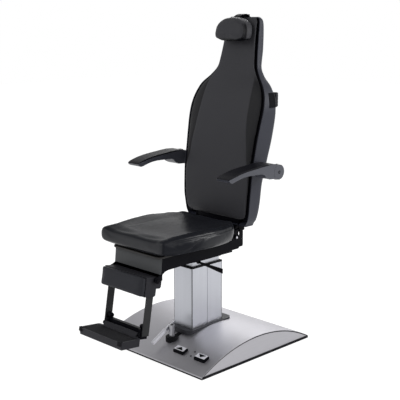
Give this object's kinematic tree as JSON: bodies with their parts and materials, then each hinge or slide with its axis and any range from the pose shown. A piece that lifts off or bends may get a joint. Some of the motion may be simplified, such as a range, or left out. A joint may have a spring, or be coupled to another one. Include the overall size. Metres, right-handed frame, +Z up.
{
  "type": "ophthalmic examination chair",
  "caption": "Examination chair on a lifting column with a swivelling seat, reclining back, swing-up arms, sliding headrest and a leg rest with a folding footplate.",
  "frame": {"origin": "middle of the base plate's underside, on the floor", "axes": "+Z up, the chair faces -Y, +X is the sitter's left"},
  "size_m": [0.7, 1.0706, 1.615],
  "materials": {
    "black_paint": "satin black powder coat",
    "grey_paint": "satin dark grey powder coat",
    "steel_sheet": "brushed stainless sheet",
    "steel_bright": "bright steel",
    "column_alu": "satin anodised",
    "charcoal_plastic": "matte charcoal",
    "black_plastic": "matte black",
    "silver_plastic": "silver",
    "glide_plastic": "off-white nylon",
    "black_rubber": "matte black",
    "board_wood": "plywood",
    "seat_leather": "semi-gloss black vinyl",
    "back_leather": "matte black vinyl",
    "shell_plastic": "satin slate moulding",
    "arm_plastic": "satin slate moulding"
  },
  "bodies": {
    "base": {"base_plate": "black_paint", "base_cover": "steel_sheet", "side_panel_left": "steel_sheet", "side_panel_right": "steel_sheet", "column_foot": "black_paint", "column_bolts": "steel_bright", "column_outer": "column_alu", "column_collar": "charcoal_plastic", "column_wiper": "black_plastic", "glide_pads": "glide_plastic", "actuator_tube": "grey_paint", "control_box": "black_plastic", "mains_inlet": "black_plastic", "switch_housings": "black_plastic", "lock_post": "steel_bright", "post_ring": "black_rubber", "lever_pin": "steel_bright"},
    "button_up": {"pedal_up": "silver_plastic"},
    "button_down": {"pedal_down": "silver_plastic"},
    "lock_lever": {"lock_pedal": "steel_bright"},
    "lift": {"column_inner": "column_alu", "column_head": "black_paint", "actuator_rod": "steel_bright"},
    "seat": {"seat_base": "black_paint", "side_plate_left": "black_paint", "side_plate_right": "black_paint", "front_crossbar": "black_paint", "apron": "grey_paint", "seat_board": "board_wood", "seat_cushion": "seat_leather", "hinge_bracket_left": "black_paint", "hinge_bracket_right": "black_paint", "leg_shaft": "steel_bright", "gas_spring_barrel": "black_paint"},
    "release": {"release_lever": "black_paint"},
    "spring_rod": {"gas_spring_rod": "steel_bright"},
    "back": {"recline_shaft": "steel_bright", "back_arm_left": "black_paint", "back_arm_right": "black_paint", "back_board": "board_wood", "back_cushion": "back_leather", "back_shell": "shell_plastic", "arm_shaft": "black_paint", "push_bar": "charcoal_plastic", "headrest_guide": "black_paint"},
    "headrest": {"headrest_strap": "black_paint", "headrest_cushion": "back_leather"},
    "arm_left": {"armrest_left": "arm_plastic", "arm_pad_left": "black_rubber", "hub_cap_left": "arm_plastic"},
    "arm_right": {"armrest_right": "arm_plastic", "arm_pad_right": "black_rubber", "hub_cap_right": "arm_plastic"},
    "legrest": {"leg_housing": "black_paint", "leg_pad": "back_leather"},
    "footrest": {"rail_left": "black_paint", "rail_right": "black_paint", "footrest_crossbar": "black_paint"},
    "footplate": {"footplate": "black_paint", "foot_mat": "black_rubber"}
  },
  "joints": [
    {"name": "lift_slide", "type": "slide", "parent": "base", "child": "lift", "axis": [0, 0, 1], "range_m": [0, 0.2]},
    {"name": "seat_swivel", "type": "hinge", "parent": "lift", "child": "seat", "pos_m": [0, -0.0585, 0.47], "axis": [0, 0, 1], "continuous": true},
    {"name": "back_recline", "type": "hinge", "parent": "seat", "child": "back", "pos_m": [0, 0.043, 0.555], "axis": [-1, 0, 0], "range_deg": [0, 75]},
    {"name": "gas_spring_slide", "type": "slide", "parent": "seat", "child": "spring_rod", "axis": [0, -1, 0], "range_m": [0, 0.056]},
    {"name": "arm_left_fold", "type": "hinge", "parent": "back", "child": "arm_left", "pos_m": [0, 0.136, 0.889], "axis": [-1, 0, 0], "range_deg": [0, 90]},
    {"name": "arm_right_fold", "type": "hinge", "parent": "back", "child": "arm_right", "pos_m": [0, 0.136, 0.889], "axis": [-1, 0, 0], "range_deg": [0, 90]},
    {"name": "headrest_slide", "type": "slide", "parent": "back", "child": "headrest", "axis": [0, 0.1867, 0.9824], "range_m": [0, 0.08]},
    {"name": "legrest_raise", "type": "hinge", "parent": "seat", "child": "legrest", "pos_m": [0, -0.473, 0.447], "axis": [-1, 0, 0], "range_deg": [0, 75]},
    {"name": "footrest_extend", "type": "slide", "parent": "legrest", "child": "footrest", "axis": [0, -0.1685, -0.9857], "range_m": [0, 0.04]},
    {"name": "footplate_fold", "type": "hinge", "parent": "footrest", "child": "footplate", "pos_m": [0, -0.55546, 0.20199], "axis": [-1, 0, 0], "range_deg": [0, 90]},
    {"name": "release_lift", "type": "hinge", "parent": "seat", "child": "release", "pos_m": [0.1, -0.155, 0.458], "axis": [0, -1, 0], "range_deg": [0, 8], "stiffness_Nm_per_rad": 4, "springref_deg": -6.88},
    {"name": "lock_press", "type": "hinge", "parent": "base", "child": "lock_lever", "pos_m": [0, -0.25, 0.13], "axis": [-1, 0, 0], "range_deg": [0, 28]},
    {"name": "button_up_press", "type": "slide", "parent": "base", "child": "button_up", "axis": [0, 0, -1], "range_m": [0, 0.003], "stiffness_N_per_m": 1500, "springref_m": -0.002},
    {"name": "button_down_press", "type": "slide", "parent": "base", "child": "button_down", "axis": [0, 0, -1], "range_m": [0, 0.003], "stiffness_N_per_m": 1500, "springref_m": -0.002}
  ],
  "couplings": [
    {"joint": "gas_spring_slide", "follows": "back_recline", "m_per_rad": 0.03906}
  ]
}
